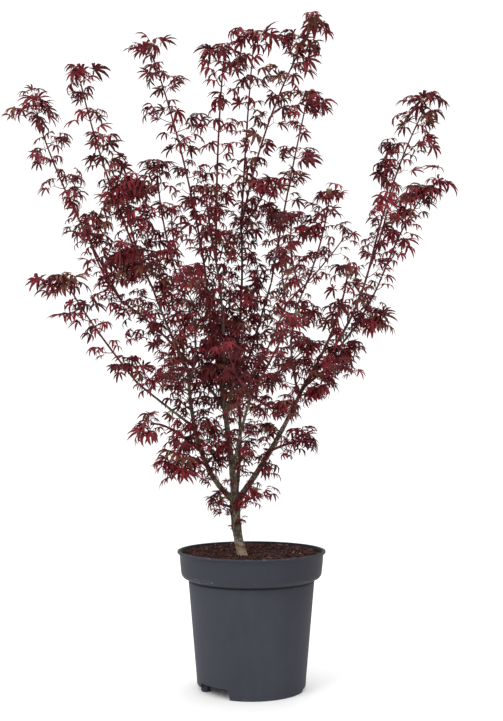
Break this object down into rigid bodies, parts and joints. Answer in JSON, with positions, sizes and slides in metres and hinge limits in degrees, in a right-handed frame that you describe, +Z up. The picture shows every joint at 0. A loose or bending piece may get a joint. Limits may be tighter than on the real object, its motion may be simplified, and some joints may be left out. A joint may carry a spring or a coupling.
{
  "type": "potted japanese maple",
  "caption": "Young Japanese maple with finely cut dark red leaves on slender upright boughs, growing in a round tapered nursery pot topped with bark mulch.",
  "frame": {"origin": "middle of the pot's flat underside, at the level it stands on", "axes": "+Z up, the side shown in front faces -Y, +X to its right"},
  "size_m": [0.8585, 0.6271, 1.2689],
  "materials": {
    "pot_plastic": "dark slate grey moulded plastic, matt, with pale scuffs along the collar",
    "bark_mulch": "damp red-brown bark chips and compost",
    "trunk_bark": "smooth grey-green bark, fissured and paler at the foot",
    "bough_bark": "grey-green to brown bark, fine and striped",
    "limb_bark": "thin dark purple-brown bark, satin",
    "leaves": "thin dark burgundy leaf, faintly glossy above"
  },
  "bodies": {
    "root": {"bough_back": "bough_bark", "bough_centre": "bough_bark", "bough_front": "bough_bark", "bough_left": "bough_bark", "bough_right": "bough_bark", "foliage_back_left": "leaves", "foliage_back_low": "leaves", "foliage_back_low_right": "leaves", "foliage_back_middle": "leaves", "foliage_back_right": "leaves", "foliage_back_side_left": "leaves", "foliage_centre_front": "leaves", "foliage_centre_right": "leaves", "foliage_far_left": "leaves", "foliage_foot_left": "leaves", "foliage_foot_right": "leaves", "foliage_front_left": "leaves", "foliage_front_low": "leaves", "foliage_front_middle": "leaves", "foliage_front_right": "leaves", "foliage_inner_left": "leaves", "foliage_left_front": "leaves", "foliage_low_front_left": "leaves", "foliage_low_left": "leaves", "foliage_middle_right": "leaves", "foliage_outer_left": "leaves", "foliage_outer_right": "leaves", "foliage_right_front": "leaves", "foliage_right_inner": "leaves", "foliage_right_low": "leaves", "foliage_right_middle": "leaves", "foliage_right_side": "leaves", "foliage_right_upper": "leaves", "foliage_shoulder_left": "leaves", "foliage_side_left": "leaves", "foliage_top_back": "leaves", "foliage_top_centre": "leaves", "foliage_top_left": "leaves", "foliage_top_right": "leaves", "foliage_trunk_left": "leaves", "foliage_trunk_right": "leaves", "foliage_upper_right": "leaves", "limb_back_far": "limb_bark", "limb_back_left": "limb_bark", "limb_back_right": "limb_bark", "limb_centre": "limb_bark", "limb_centre_left": "limb_bark", "limb_centre_right": "limb_bark", "limb_far_left": "limb_bark", "limb_inner_left": "limb_bark", "limb_inner_right": "limb_bark", "limb_low_left": "limb_bark", "limb_outer_left": "limb_bark", "limb_outer_right": "limb_bark", "limb_upper_right": "limb_bark", "pot": "pot_plastic", "soil": "bark_mulch", "trunk": "trunk_bark"}
  },
  "joints": []
}
